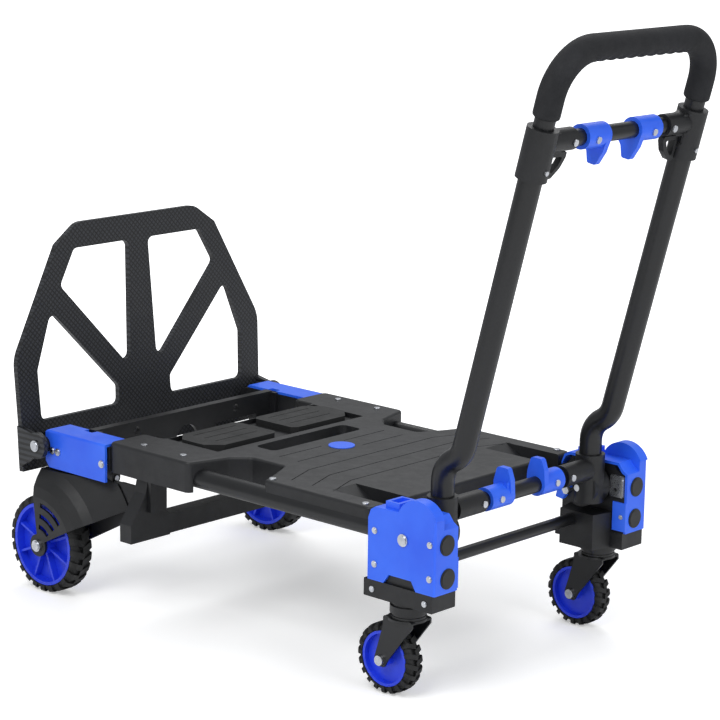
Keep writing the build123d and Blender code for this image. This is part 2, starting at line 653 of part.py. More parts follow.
with BuildPart() as toe_plate:
    panel_plane = front_view(TOE, -toe_back)
    with BuildSketch(panel_plane) as panel:
        with BuildLine():
            Polyline(*toe_outline(), close=True)
        make_face()
        fillet(panel.vertices().filter_by(lambda v: abs(v.Y - 128) < 1), radius=toe_corner_r[0])
        fillet(panel.vertices().filter_by(lambda v: v.Y > toe_top - 1), radius=toe_corner_r[1])
        for side in SIDES.values():
            for hole in (upper_hole, lower_hole):
                with BuildLine():
                    FilletPolyline(*[(side * y, u) for y, u in hole], radius=toe_hole_r, close=True)
                make_face(mode=Mode.SUBTRACT)
    extrude(panel.sketch, amount=toe_t)
    with BuildSketch(panel_plane) as hole_walls:
        for side in SIDES.values():
            for hole in (upper_hole, lower_hole):
                with BuildLine():
                    FilletPolyline(*[(side * y, u) for y, u in hole], radius=toe_hole_r, close=True)
                make_face()
        offset(amount=toe_wall, mode=Mode.REPLACE)
    with BuildSketch(panel_plane) as pocket:
        with BuildLine():
            Polyline(*toe_outline(), close=True)
        make_face()
        offset(amount=-toe_wall, mode=Mode.REPLACE)
        add(hole_walls.sketch_local, mode=Mode.SUBTRACT)
        for u in (60.0, 120.0, 180.0, 240.0):
            with Locations((0, u)):
                Rectangle(2 * toe_half_w, rib_t, mode=Mode.SUBTRACT)
        for y in (-220.0, -110.0, 0.0, 110.0, 220.0):
            with Locations((y, 140)):
                Rectangle(rib_t, 420, mode=Mode.SUBTRACT)
    extrude(pocket.sketch, amount=toe_t - toe_skin, mode=Mode.SUBTRACT)
    for side in SIDES.values():
        inside, outside = side * (toe_half_w - ear_t), side * toe_half_w
        slab([(-toe_back + 1, toe_bottom + 4), (-8, -18), (-8, 18), (-toe_back + 1, 26)], (inside, outside), base=TOE)
        bar_y(toe_x, toe_z, ear_r, (inside, outside))
        bar_y(toe_x, toe_z, toe_bolt_d / 2 + fit, (side * 240, side * 262), mode=Mode.SUBTRACT)
finish(toe_plate, "toe_plate")

# ================================================================ wheel arms
fan_profile = [(261, 0), (261, 75), (258, 90), (250, 103), (240, 115), (225, 140), (210, 165)]
fan_shift = 3.5
arm_top_z = (arm_pin_z - 6, arm_pin_z - 3)
knuckles = [(lug_stations[0][1] + knuckle_gap, lug_stations[1][0] - knuckle_gap),
            (lug_stations[1][1] + knuckle_gap, lug_stations[2][0] - knuckle_gap)]
vent_radii = [30.0, 47.0, 64.0]
vent_w = 7.0
inner_y = (205.0, 208.0)


def fan_plane(side, angle):
    """The section through the wheel axis, seen at an angle above the front."""
    reach = Vector(cos(radians(angle)), 0, sin(radians(angle)))
    width = Vector(0, side, 0)
    return Plane(origin=(axle_x, 0, axle_z), x_dir=width, z_dir=width.cross(reach))


def wheel_arm(side):
    """One folding wheel arm: fender, inner plate, hinge knuckles and axle bosses."""
    wheel_axis = Axis((axle_x, 0, axle_z), (0, -1, 0))
    inner_profile = [(v - fan_shift, max(r - 1, 0)) for v, r in fan_profile]
    with BuildPart() as arm:
        with BuildSketch(fan_plane(side, fan_start)) as section:
            with BuildLine():
                Polyline(*(fan_profile + inner_profile[::-1]), close=True)
            make_face()
        revolve(section.sketch, axis=wheel_axis, revolution_arc=fan_end - fan_start)
        bar_y(axle_x, axle_z, 17, (side * (arm_outer_face - fan_shift), side * arm_outer_face))
        block((at(-60), at(200)), (side * 200, side * 265), (arm_top_z[1], 260), mode=Mode.SUBTRACT)
        for radius in vent_radii:
            with BuildSketch(fan_plane(side, fan_start + 13)) as vent:
                with Locations((arm_outer_face - 2, radius)):
                    Rectangle(10, vent_w)
            revolve(vent.sketch, axis=wheel_axis, revolution_arc=44, mode=Mode.SUBTRACT)
        floor_plan([(at(arm_back), side * inner_y[0]), (at(arm_back), side * 239.5), (at(0), side * 240.2),
                    (at(81), side * 224.6), (at(119), side * 209.8), (at(arm_front), side * inner_y[1]),
                    (at(arm_front), side * inner_y[0])], arm_top_z)
        slab([(at(arm_back), arm_top_z[1]), (at(arm_front), arm_top_z[1]), (at(173), 157), (at(136), 127),
              (at(13), 62), (at(-14), 66)], (side * inner_y[0], side * inner_y[1]))
        bar_y(axle_x, axle_z, 16, (side * inner_y[0], side * inner_y[1]))
        bar_y(axle_x, axle_z, 9, (side * inner_y[0], side * 214.5))
        for first, last in knuckles:
            bar_x(side * arm_pin_y, arm_pin_z, lug_r, (at(first), at(last)))
        bar_x(side * arm_pin_y, arm_pin_z, arm_pin_d / 2 + fit, (at(-40), at(130)), mode=Mode.SUBTRACT)
        for first, last in lug_stations:
            bar_x(side * arm_pin_y, arm_pin_z, lug_r + 0.6, (at(first - knuckle_gap), at(last + knuckle_gap)),
                  mode=Mode.SUBTRACT)
        bar_y(axle_x, axle_z, rear_axle_d / 2 + fit, (side * 200, side * 270), mode=Mode.SUBTRACT)
    return arm


def rear_axle(side):
    """The wheel bolt, with its head outside and its nut inside."""
    with BuildPart() as axle:
        bar_y(axle_x, axle_z, rear_axle_d / 2, (side * 196, side * 262))
        bar_y(axle_x, axle_z, 9, (side * arm_outer_face, side * 265))
        bar_y(axle_x, axle_z, 7, (side * 265, side * 267))
        bar_y(axle_x, axle_z, 8, (side * 197, side * inner_y[0]))
    return axle


tyre_round = 9.0


def rear_tyre(side):
    """The tread ring."""
    with BuildPart() as tyre:
        bar_y(axle_x, axle_z, wheel_d / 2, (side * (wheel_y - wheel_w / 2), side * (wheel_y + wheel_w / 2)))
        fillet(tyre.edges().filter_by(GeomType.CIRCLE), radius=tyre_round)
        bar_y(axle_x, axle_z, rear_rim_r, (side * 200, side * 260), mode=Mode.SUBTRACT)
    return tyre


def rear_rim(side):
    """The moulded rim: ring, web, hub and ribs."""
    with BuildPart() as rim:
        bar_y(axle_x, axle_z, rear_rim_r, (side * (wheel_y - 18), side * (wheel_y + 18)))
        for face, sign in ((wheel_y - 18, 1), (wheel_y + 18, -1)):
            bar_y(axle_x, axle_z, rear_rim_r - 5, (side * face, side * (face + sign * 14)), mode=Mode.SUBTRACT)
        bar_y(axle_x, axle_z, 15, (side * (wheel_y - 19.5), side * (wheel_y + 20)))
        for index in range(8):
            angle = index * 45 + 22.5
            with Locations(Location((axle_x, side * wheel_y, axle_z), (0, angle, 0))):
                with Locations((36, 0, 0)):
                    Box(46, 30, 3.5)
        bar_y(axle_x, axle_z, 9 + fit, (side * 200, side * 260), mode=Mode.SUBTRACT)
    return rim


def rear_bush(side):
    """The plain bearing pressed into the hub."""
    with BuildPart() as bush:
        bar_y(axle_x, axle_z, 9, (side * 214.8, side * 253.8))
        bar_y(axle_x, axle_z, rear_axle_d / 2 + fit, (side * 200, side * 260), mode=Mode.SUBTRACT)
    return bush


# ================================================================ casters
fork_gap = 3.0
fork_t = 3.0
fork_top = race_low - 0.4


def caster_fork(side):
    """The pressed fork: a dished crown and two arms."""
    y = side * tube_y
    inner = caster_w / 2 + fork_gap
    with BuildPart() as fork:
        bar_z(king_x, y, 24, (fork_top - 3.4, fork_top))
        bar_z(king_x - 2, y, 27, (fork_top - 7, fork_top - 3.4))
        slab([(caster_x - 11, caster_z + 2), (caster_x - 7, 41), (caster_x + 7, 41), (caster_x + 13, caster_z + 2),
              (king_x + 12, 92), (king_x + 23, 106), (king_x + 23, fork_top - 3.4), (king_x - 28, fork_top - 3.4),
              (king_x - 29, 98)], (y - inner - fork_t, y + inner + fork_t), radius=3)
        block((caster_x - 60, king_x + 60), (y - inner, y + inner), (20, fork_top - 7), mode=Mode.SUBTRACT)
        bar_y(caster_x, caster_z, caster_axle_d / 2 + fit, (y - 30, y + 30), mode=Mode.SUBTRACT)
        bar_z(king_x, y, kingpin_d / 2 + fit, (90, fork_top + 1), mode=Mode.SUBTRACT)
    return fork


def caster_stem(side):
    """The king pin, riveted into the crown."""
    with BuildPart() as stem:
        bar_z(king_x, side * tube_y, kingpin_d / 2, (fork_top - 9, base_low + 12))
        bar_z(king_x, side * tube_y, 9, (fork_top - 10, fork_top - 7))
    return stem


def caster_axle(side):
    """The bolt that carries the caster wheel."""
    y = side * tube_y
    with BuildPart() as axle:
        bar_y(caster_x, caster_z, caster_axle_d / 2, (y - 24, y + 24))
        bar_y(caster_x, caster_z, 7, (y + 20, y + 24.5))
        bar_y(caster_x, caster_z, 7, (y - 20, y - 24.5))
    return axle


def caster_tyre(side):
    """The caster's tread ring."""
    y = side * tube_y
    with BuildPart() as tyre:
        bar_y(caster_x, caster_z, caster_d / 2, (y - caster_w / 2, y + caster_w / 2))
        fillet(tyre.edges().filter_by(GeomType.CIRCLE), radius=6)
        bar_y(caster_x, caster_z, caster_rim_r, (y - 20, y + 20), mode=Mode.SUBTRACT)
    return tyre


def caster_rim(side):
    """The caster's wheel centre."""
    y = side * tube_y
    with BuildPart() as rim:
        bar_y(caster_x, caster_z, caster_rim_r, (y - caster_w / 2 + 1, y + caster_w / 2 - 1))
        for sign in (-1, 1):
            bar_y(caster_x, caster_z, caster_rim_r - 4, (y + sign * 5, y + sign * 20), mode=Mode.SUBTRACT)
        bar_y(caster_x, caster_z, 10, (y - caster_w / 2 - 2, y + caster_w / 2 + 2))
        bar_y(caster_x, caster_z, caster_axle_d / 2 + fit, (y - 20, y + 20), mode=Mode.SUBTRACT)
    return rim


for name, side in SIDES.items():
    finish(wheel_arm(side), f"wheel_arm_{name}")
    finish(rear_axle(side), f"rear_axle_{name}")
    finish(rear_tyre(side), f"rear_tyre_{name}")
    finish(rear_rim(side), f"rear_rim_{name}")
    finish(rear_bush(side), f"rear_bush_{name}")
    finish(caster_fork(side), f"caster_fork_{name}")
    finish(caster_stem(side), f"caster_stem_{name}")
    finish(caster_axle(side), f"caster_axle_{name}")
    finish(caster_tyre(side), f"caster_tyre_{name}")
    finish(caster_rim(side), f"caster_rim_{name}")

# ================================================================ handle
leg_end = fitting_low + fitting_l - 3
handle_r = handle_d / 2


def leg_path(start_up, end_run, y):
    """The middle line of one handle leg: a short stem, an S bend and the leaning run."""
    with BuildLine(side_view(PIVOT, y)) as path:
        stem = Line((stem_forward, start_up), (stem_forward, stem_end))
        out = JernArc(start=stem @ 1, tangent=stem % 1, radius=s_bend_r, arc_size=-s_bend_angle)
        back = JernArc(start=out @ 1, tangent=out % 1, radius=s_bend_r, arc_size=s_bend_angle - handle_lean)
        Line(back @ 1, (back @ 1) + (back % 1) * end_run)
    return path.wire()


def sweep_round(path, radius, mode=Mode.ADD):
    """A round section carried along a path."""
    with BuildSketch(Plane(origin=path @ 0, z_dir=path % 0)) as section:
        Circle(radius)
    sweep(section.sketch, path=path, mode=mode)


with BuildPart() as handle_tubes:
    for side in SIDES.values():
        leg = leg_path(stem_start, leg_end, side * handle_y)
        sweep_round(leg, handle_r)
    for side in SIDES.values():
        leg = leg_path(stem_start, leg_end, side * handle_y)
        sweep_round(leg, handle_r - handle_wall, mode=Mode.SUBTRACT)
    for side in SIDES.values():
        pin_place = RUN.from_local_coords(Vector(0, side * handle_y, trigger_at))
        bar_y(pin_place.X, pin_place.Z, trigger_pin_d / 2 + 0.3, (side * 140, side * 150), mode=Mode.SUBTRACT)
finish(handle_tubes, "handle_tubes")

hub_socket_depth = 50.0
with BuildPart(PIVOT) as handle_hubs:
    for side in SIDES.values():
        bar_y(hook_bar_forward, hook_bar_up, socket_d / 2, (side * socket_end_y, side * (hub_in_y - 2)))
        bar_z(stem_forward, side * handle_y, fitting_d / 2, (-21, 49))
        bar_y(0, 0, hub_r, (side * hub_in_y, side * hub_out_y))
    for side in SIDES.values():
        bar_z(stem_forward, side * handle_y, handle_r + fit, (stem_start, 60), mode=Mode.SUBTRACT)
        bar_y(0, 0, pivot_bolt_d / 2 + fit, (side * 130, side * 190), mode=Mode.SUBTRACT)
        bar_y(hook_bar_forward, hook_bar_up, hook_bar_d / 2 + fit,
              (side * (socket_end_y - 1), side * (socket_end_y + hub_socket_depth + 1)), mode=Mode.SUBTRACT)
finish(handle_hubs, "handle_hubs")

with BuildPart(PIVOT) as hook_bar_lower:
    hook_bar_end = socket_end_y + hub_socket_depth
    bar_y(hook_bar_forward, hook_bar_up, hook_bar_d / 2, (-hook_bar_end, hook_bar_end))
    bar_y(hook_bar_forward, hook_bar_up, hook_bar_d / 2 - 2, (-hook_bar_end - 1, hook_bar_end + 1), mode=Mode.SUBTRACT)
finish(hook_bar_lower, "hook_bar_lower")

with BuildPart(PIVOT) as strap_hooks_lower:
    for side in SIDES.values():
        bar_y(hook_bar_forward, hook_bar_up, hook_r, (side * hook_in_y, side * hook_out_y))
        slab([(hook_bar_forward - hook_r, hook_bar_up - 4), (hook_bar_forward + hook_r, hook_bar_up),
              (hook_bar_forward + hook_half_w, hook_bar_up + 22), (hook_bar_forward + 9, hook_bar_up + hook_reach),
              (hook_bar_forward - 9, hook_bar_up + hook_reach), (hook_bar_forward - hook_half_w, hook_bar_up + 18)],
             (side * hook_in_y, side * (hook_in_y + hook_t)), base=PIVOT, radius=5)
        slab([(hook_bar_forward - 13, hook_bar_up + 8), (hook_bar_forward + 13, hook_bar_up + 8),
              (hook_bar_forward + 13, hook_bar_up + 20)],
             (side * (hook_in_y + hook_t), side * (hook_in_y + hook_t + 4)), base=PIVOT, radius=1)
        bar_y(hook_bar_forward, hook_bar_up, hook_bar_d / 2 + fit, (side * 30, side * 81), mode=Mode.SUBTRACT)
finish(strap_hooks_lower, "strap_hooks_lower")

with BuildPart(RUN) as upper_fittings:
    for side in SIDES.values():
        bar_y(0, crossbar_at, 15, (side * upper_socket_end_y, side * (handle_y - 6)))
        bar_z(0, side * handle_y, fitting_d / 2, (fitting_low, fitting_low + fitting_l))
        with BuildSketch(front_view(RUN, -9)) as gusset:
            with BuildLine():
                Polyline((side * 116, crossbar_at + 8), (side * 116, crossbar_at - 8), (side * 148, crossbar_at - 34),
                         (side * 148, crossbar_at + 18), close=True)
            make_face()
        extrude(gusset.sketch, amount=18)
    for side in SIDES.values():
        bar_z(0, side * handle_y, handle_r + fit, (fitting_low - 1, leg_end), mode=Mode.SUBTRACT)
        bar_z(0, side * handle_y, handle_r - handle_wall, (leg_end - 1, fitting_low + fitting_l + 1), mode=Mode.SUBTRACT)
        bar_y(0, crossbar_at, 11.25 + fit, (side * (upper_socket_end_y - 1), side * 138), mode=Mode.SUBTRACT)
        bar_y(0, trigger_at, trigger_pin_d / 2 + 0.3, (side * 125, side * 150), mode=Mode.SUBTRACT)
        with BuildSketch(front_view(RUN, -30)) as clearance:
            with BuildLine():
                Polyline((side * 100, crossbar_at - 15), (side * trigger_room_y, crossbar_at - 15),
                         (side * trigger_room_y, fitting_low - 5), (side * 100, fitting_low - 5), close=True)
            make_face()
        extrude(clearance.sketch, amount=60, mode=Mode.SUBTRACT)
finish(upper_fittings, "upper_fittings")

with BuildPart(RUN) as hook_bar_upper:
    bar_y(0, crossbar_at, 11.25, (-137, 137))
    bar_y(0, crossbar_at, 9.25, (-138, 138), mode=Mode.SUBTRACT)
finish(hook_bar_upper, "hook_bar_upper")

with BuildPart(RUN) as strap_hooks_upper:
    for side in SIDES.values():
        bar_y(0, crossbar_at, hook_r, (side * hook_in_y, side * hook_out_y))
        slab([(hook_r, crossbar_at + 2), (14, crossbar_at - 20), (7, crossbar_at - 40), (-6, crossbar_at - 41),
              (-12, crossbar_at - 26), (-24, crossbar_at - 14), (-22, crossbar_at - 4), (-hook_r, crossbar_at + 4)],
             (side * hook_in_y, side * (hook_in_y + hook_t)), base=RUN, radius=3.5)
        bar_y(0, crossbar_at, 11.25 + fit, (side * 30, side * 81), mode=Mode.SUBTRACT)
finish(strap_hooks_upper, "strap_hooks_upper")

screw_head_r = 4.6
lever_back, lever_down = -15.0, -5.0    # the lever's bolt, from the handle pivot
lever_y = (139.0, 146.6)
with BuildPart() as handle_screws:
    for side in SIDES.values():
        places = [(PIVOT, hook_bar_forward, hook_bar_up, hook_screw_y, hook_r), (RUN, 0, crossbar_at, hook_screw_y, hook_r),
                  (PIVOT, hook_bar_forward, hook_bar_up, socket_screw_y, socket_d / 2),
                  (RUN, 0, crossbar_at, socket_screw_y + 10, 15.0)]
        for base, forward, height, y, surface in places:
            seat_plane = Plane(origin=base.from_local_coords(Vector(forward + surface, side * y, height)), z_dir=base.x_dir)
            with BuildSketch(seat_plane) as head:
                Circle(screw_head_r)
            extrude(head.sketch, amount=2.0)
        collar = Plane(origin=RUN.from_local_coords(Vector(fitting_d / 2, side * handle_y, fitting_low + 15)), z_dir=RUN.x_dir)
        with BuildSketch(collar) as rivet:
            Circle(3.2)
        extrude(rivet.sketch, amount=2.2)
        bar_y(pivot_x + lever_back, pivot_z + lever_down, 3, (side * 138.7, side * hub_in_y))
        with BuildSketch(side_view(WORLD, max(side * 133.0, side * 138.7))) as hexagon:
            with Locations((pivot_x + lever_back, pivot_z + lever_down)):
                RegularPolygon(6.0, 6)
        extrude(hexagon.sketch, amount=5.7)
finish(handle_screws, "handle_screws")

grip_tube_r = handle_r - handle_wall - slide_gap


def grip_path(start):
    """The middle line of the U-shaped grip, from one leg over to the other."""
    section = Plane(origin=RUN.origin, x_dir=RUN.y_dir, z_dir=RUN.x_dir)
    with BuildLine(section) as path:
        FilletPolyline((-handle_y, start), (-handle_y, handle_top), (handle_y, handle_top), (handle_y, start),
                       radius=grip_bend_r)
    return path.wire()


with BuildPart() as handle_grip_tube:
    sweep_round(grip_path(slide_start), grip_tube_r)
    sweep_round(grip_path(slide_start), grip_tube_r - 1.8, mode=Mode.SUBTRACT)
finish(handle_grip_tube, "handle_grip_tube")

with BuildPart() as handle_grip:
    sweep_round(grip_path(grip_at), grip_d / 2)
    sweep_round(grip_path(grip_at), grip_tube_r + seat, mode=Mode.SUBTRACT)
finish(handle_grip, "handle_grip")


def trigger(side):
    """The pull loop and pin that lock the telescoping tube."""
    outer = [(trigger_out_y, trigger_at - 19), (trigger_out_y, crossbar_at - 15.7), (104, crossbar_at - 15.7),
             (104, trigger_at + 9), (111, trigger_at - 5), (125, trigger_at - 18)]
    hole = [(131, trigger_at - 12), (131, trigger_at + 10.5), (110.5, trigger_at + 10.5), (116, trigger_at - 1),
            (126, trigger_at - 11)]
    with BuildPart(RUN) as pull:
        for points, corner, mode in ((outer, 2.5, Mode.ADD), (hole, 2, Mode.SUBTRACT)):
            with BuildSketch(front_view(RUN, -4.5)) as loop:
                with BuildLine():
                    FilletPolyline(*[(side * y, u) for y, u in points], radius=corner, close=True)
                make_face()
            extrude(loop.sketch, amount=9, mode=mode)
        bar_y(0, trigger_at, trigger_pin_d / 2, (side * (trigger_out_y - 1), side * trigger_pin_end))
    return pull


def lock_lever(side):
    """The lever under the pivot that frees the folded handle."""
    with BuildPart(PIVOT) as lever:
        slab([(-24, 2), (-19, 7), (-13.5, 5), (-12.5, -2), (-17, -9), (-24, -21), (-37, -19), (-34, -9)],
             (side * lever_y[0], side * lever_y[1]), base=PIVOT, radius=2)
        bar_y(lever_back, lever_down, 3 + fit, (side * 130, side * 150), mode=Mode.SUBTRACT)
    return lever


for name, side in SIDES.items():
    finish(trigger(side), f"trigger_{name}")
    finish(lock_lever(side), f"lock_lever_{name}")
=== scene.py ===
"""Convertible hand truck: finishes and fine detail around the fixed mechanical frame."""

import json
import math

import bmesh
import bpy
from mathutils import Matrix, Vector


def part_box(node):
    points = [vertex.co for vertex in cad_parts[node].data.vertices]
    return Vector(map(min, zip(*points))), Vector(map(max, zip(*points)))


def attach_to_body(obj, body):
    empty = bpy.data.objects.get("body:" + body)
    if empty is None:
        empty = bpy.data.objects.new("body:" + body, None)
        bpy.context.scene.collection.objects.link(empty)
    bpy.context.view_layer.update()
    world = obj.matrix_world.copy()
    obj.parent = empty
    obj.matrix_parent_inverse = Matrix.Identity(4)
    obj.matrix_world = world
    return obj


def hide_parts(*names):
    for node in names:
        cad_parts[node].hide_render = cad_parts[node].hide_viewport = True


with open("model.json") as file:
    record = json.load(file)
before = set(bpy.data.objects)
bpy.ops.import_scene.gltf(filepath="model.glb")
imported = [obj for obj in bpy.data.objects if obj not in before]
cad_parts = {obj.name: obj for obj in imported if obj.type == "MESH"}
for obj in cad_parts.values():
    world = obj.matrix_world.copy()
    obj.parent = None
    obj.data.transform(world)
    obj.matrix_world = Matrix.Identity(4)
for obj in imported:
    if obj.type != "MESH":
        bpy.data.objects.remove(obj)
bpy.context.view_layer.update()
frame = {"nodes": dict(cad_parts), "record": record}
MM = 0.001


# ---------------------------------------------------------------- colour and nodes
def linear(hex_colour):
    """A linear RGBA colour from an sRGB hex value."""
    value = hex_colour.lstrip("#")
    channels = [int(value[i:i + 2], 16) / 255 for i in (0, 2, 4)]
    return [c / 12.92 if c <= 0.04045 else ((c + 0.055) / 1.055) ** 2.4 for c in channels] + [1.0]


def add(tree, kind, inputs=None, **settings):
    """Add one node, set its settings, and link or set its inputs."""
    node = tree.nodes.new(kind)
    for key, value in settings.items():
        setattr(node, key, value)
    for key, value in (inputs or {}).items():
        if isinstance(value, bpy.types.NodeSocket):
            tree.links.new(value, node.inputs[key])
        else:
            node.inputs[key].default_value = value
    return node


def new_material(name):
    """An empty material with its node tree and object-space coordinates."""
    material = bpy.data.materials.new(name)
    material.use_nodes = True
    tree = material.node_tree
    tree.nodes.clear()
    return material, tree, add(tree, "ShaderNodeTexCoord").outputs["Object"]


def ramp(tree, factor, stops):
    """A colour ramp between hex colours or grey levels."""
    node = add(tree, "ShaderNodeValToRGB", {"Fac": factor})
    for index, (place, colour) in enumerate(stops):
        if index < 2:
            stop = node.color_ramp.elements[index]
            stop.position = place
        else:
            stop = node.color_ramp.elements.new(place)
        stop.color = linear(colour) if isinstance(colour, str) else [colour, colour, colour, 1.0]
    return node.outputs["Color"]


def close(tree, colour, roughness, normal, **fixed):
    """The surface shader and output that end a material."""
    shader = add(tree, "ShaderNodeBsdfPrincipled",
                 {"Base Color": colour, "Roughness": roughness, "Normal": normal})
    for key, value in fixed.items():
        shader.inputs[key.replace("_", " ")].default_value = value
    add(tree, "ShaderNodeOutputMaterial", {"Surface": shader.outputs["BSDF"]})


# sizes of the finishes' patterns, in millimetres
DRIFT_MM = 71.43            # slow change of colour across a moulding
RUB_MM = 22.22              # patches rubbed shinier by hands and loads
COAT_DRIFT_MM = 111.1       # slow change of gloss along a coated tube
PEEL_MM = 2.381             # orange-peel ripple of the coat
DRAWN_MM = (2.5, 2.5, 0.4)  # drawn lines in the zinc
CLOUD_MM = 11.11            # cloudy patches in the zinc
PATCH_MM = 50.0             # patches of gloss on the toe plate


def moulded(name, dark, light, rough_low, rough_high, grain_mm, depth_mm):
    """Moulded plastic or rubber: a fine spark-eroded grain, faint colour drift and rubbed, shinier areas."""
    material, tree, place = new_material(name)
    drift = add(tree, "ShaderNodeTexNoise", {"Vector": place, "Scale": 1000 / DRIFT_MM,
                                             "Detail": 4.0}).outputs["Fac"]
    grain = add(tree, "ShaderNodeTexNoise", {"Vector": place, "Scale": 1000 / grain_mm,
                                             "Detail": 2.0}).outputs["Fac"]
    rub = add(tree, "ShaderNodeTexNoise", {"Vector": place, "Scale": 1000 / RUB_MM, "Detail": 6.0,
                                           "Roughness": 0.7}).outputs["Fac"]
    colour = ramp(tree, drift, [(0.3, dark), (0.7, light)])
    rough = ramp(tree, rub, [(0.35, rough_low), (0.65, rough_high)])
    bump = add(tree, "ShaderNodeBump", {"Height": grain, "Strength": 0.6,
                                        "Distance": depth_mm * MM}).outputs["Normal"]
    close(tree, colour, rough, bump)
    return material


def powder_coat(name, dark, light):
    """Powder-coated steel: smooth black coat with a slight orange-peel ripple."""
    material, tree, place = new_material(name)
    drift = add(tree, "ShaderNodeTexNoise", {"Vector": place, "Scale": 1000 / COAT_DRIFT_MM,
                                             "Detail": 3.0}).outputs["Fac"]
    peel = add(tree, "ShaderNodeTexNoise", {"Vector": place, "Scale": 1000 / PEEL_MM,
                                            "Detail": 1.0}).outputs["Fac"]
    colour = ramp(tree, drift, [(0.3, dark), (0.7, light)])
    rough = ramp(tree, drift, [(0.3, 0.30), (0.7, 0.38)])
    bump = add(tree, "ShaderNodeBump", {"Height": peel, "Strength": 0.35,
                                        "Distance": 0.1 * MM}).outputs["Normal"]
    close(tree, colour, rough, bump)
    return material


def zinc_plate(name):
    """Bright zinc plating on steel: pale metal with fine drawn lines and cloudy roughness."""
    material, tree, place = new_material(name)
    lines = add(tree, "ShaderNodeMapping", {"Vector": place,
                                            "Scale": [1000 / size for size in DRAWN_MM]}).outputs["Vector"]
    drawn = add(tree, "ShaderNodeTexNoise", {"Vector": lines, "Scale": 1.0, "Detail": 3.0}).outputs["Fac"]
    cloud = add(tree, "ShaderNodeTexNoise", {"Vector": place, "Scale": 1000 / CLOUD_MM,
                                             "Detail": 4.0}).outputs["Fac"]
    colour = ramp(tree, cloud, [(0.3, "#B9BCC2"), (0.7, "#D9DBDF")])
    rough = ramp(tree, drawn, [(0.3, 0.22), (0.7, 0.38)])
    bump = add(tree, "ShaderNodeBump", {"Height": drawn, "Strength": 0.25,
                                        "Distance": 0.05 * MM}).outputs["Normal"]
    close(tree, colour, rough, bump, Metallic=1.0)
    return material


def studded(name, dark, light, pitch_mm):
    """Black moulded plastic with an embossed lattice: the raised diamonds are painted lighter, a painted
    highlight for the light they catch.
    """
    material, tree, place = new_material(name)
    flat = add(tree, "ShaderNodeMapping", {"Vector": place, "Scale": (0.0, 1.0, 1.0),
                                           "Rotation": (math.pi / 4, 0, 0)})
    cells = add(tree, "ShaderNodeTexVoronoi", {"Vector": flat.outputs["Vector"], "Scale": 1000 / pitch_mm,
                                               "Randomness": 0.0}, distance="CHEBYCHEV")
    drift = add(tree, "ShaderNodeTexNoise", {"Vector": place, "Scale": 1000 / PATCH_MM,
                                             "Detail": 4.0}).outputs["Fac"]
    raised = ramp(tree, cells.outputs["Distance"], [(0.28, 1.0), (0.4, 0.0)])
    # painted highlight: the raised diamonds take the lighter colour
    colour = ramp(tree, raised, [(0.0, dark), (1.0, light)])
    rough = ramp(tree, drift, [(0.3, 0.38), (0.7, 0.52)])
    bump = add(tree, "ShaderNodeBump", {"Height": raised, "Strength": 0.5,
                                        "Distance": 0.3 * MM}).outputs["Normal"]
    close(tree, colour, rough, bump)
    return material


FINISH = {
    "black_steel": powder_coat("powder_coated_steel", "#0B0C0E", "#131417"),
    "deck_plastic": moulded("polypropylene_deck_charcoal", "#131416", "#1B1C1F", 0.46, 0.58, 0.9, 0.10),
    "black_plastic": moulded("polypropylene_black", "#0C0D0F", "#131417", 0.40, 0.54, 0.8, 0.08),
    "black_rubber": moulded("ribbed_rubber_pad", "#0D0E0F", "#161718", 0.6, 0.74, 1.2, 0.12),
    "tyre_rubber": moulded("thermoplastic_rubber_tread", "#0C0D0E", "#151617", 0.56, 0.72, 1.4, 0.14),
    "foam_grip": moulded("eva_foam_grip", "#101114", "#1A1B1F", 0.78, 0.92, 1.5, 0.35),
    "blue_plastic": moulded("polypropylene_bright_blue", "#245CEB", "#306CF6", 0.34, 0.46, 0.8, 0.06),
    "blue_rim": moulded("nylon_rim_deep_blue", "#1834D2", "#2446E4", 0.36, 0.48, 0.9, 0.06),
    "zinc_steel": zinc_plate("bright_zinc_plate"),
}

# the second colour is the painted highlight on the raised diamonds of the lattice
TOE_FINISH = studded("polypropylene_embossed_lattice", "#0C0D0F", "#2E3034", 6.0)

for entry in frame["record"]["subparts"]:
    node_object = frame["nodes"][entry["node"]]
    material = TOE_FINISH if entry["node"] == "toe_plate" else FINISH[entry["material_slot"]]
    if node_object.data.materials:
        for index in range(len(node_object.data.materials)):
            node_object.data.materials[index] = material
    else:
        node_object.data.materials.append(material)


# ---------------------------------------------------------------- mesh helpers
def mesh_object(name, build, slot, smooth=True):
    """Make an object from a bmesh that a function fills."""
    work = bmesh.new()
    build(work)
    bmesh.ops.remove_doubles(work, verts=work.verts, dist=1e-6)
    bmesh.ops.recalc_face_normals(work, faces=work.faces)
    mesh = bpy.data.meshes.new(name)
    work.to_mesh(mesh)
    work.free()
    for polygon in mesh.polygons:
        polygon.use_smooth = smooth
    thing = bpy.data.objects.new(name, mesh)
    bpy.context.collection.objects.link(thing)
    mesh.materials.append(FINISH[slot])
    return thing


def attach(piece, body, slot, *nodes):
    """Ride on a body and stand for CAD nodes; the slot argument is not used."""
    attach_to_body(piece, body)
    if nodes:
        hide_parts(*nodes)


def rounded_path(corners, radius, steps):
    """Points along straight runs whose corners are arcs."""
    points = [corners[0]]
    for before, corner, after in zip(corners, corners[1:], corners[2:]):
        back = (before - corner).normalized()
        ahead = (after - corner).normalized()
        half = back.angle(ahead) / 2
        reach = radius / math.tan(half)
        centre = corner + (back + ahead).normalized() * (radius / math.sin(half))
        first, last = corner + back * reach - centre, corner + ahead * reach - centre
        for step in range(steps + 1):
            points.append(centre + first.slerp(last, step / steps).normalized() * radius)
    points.append(corners[-1])
    return points


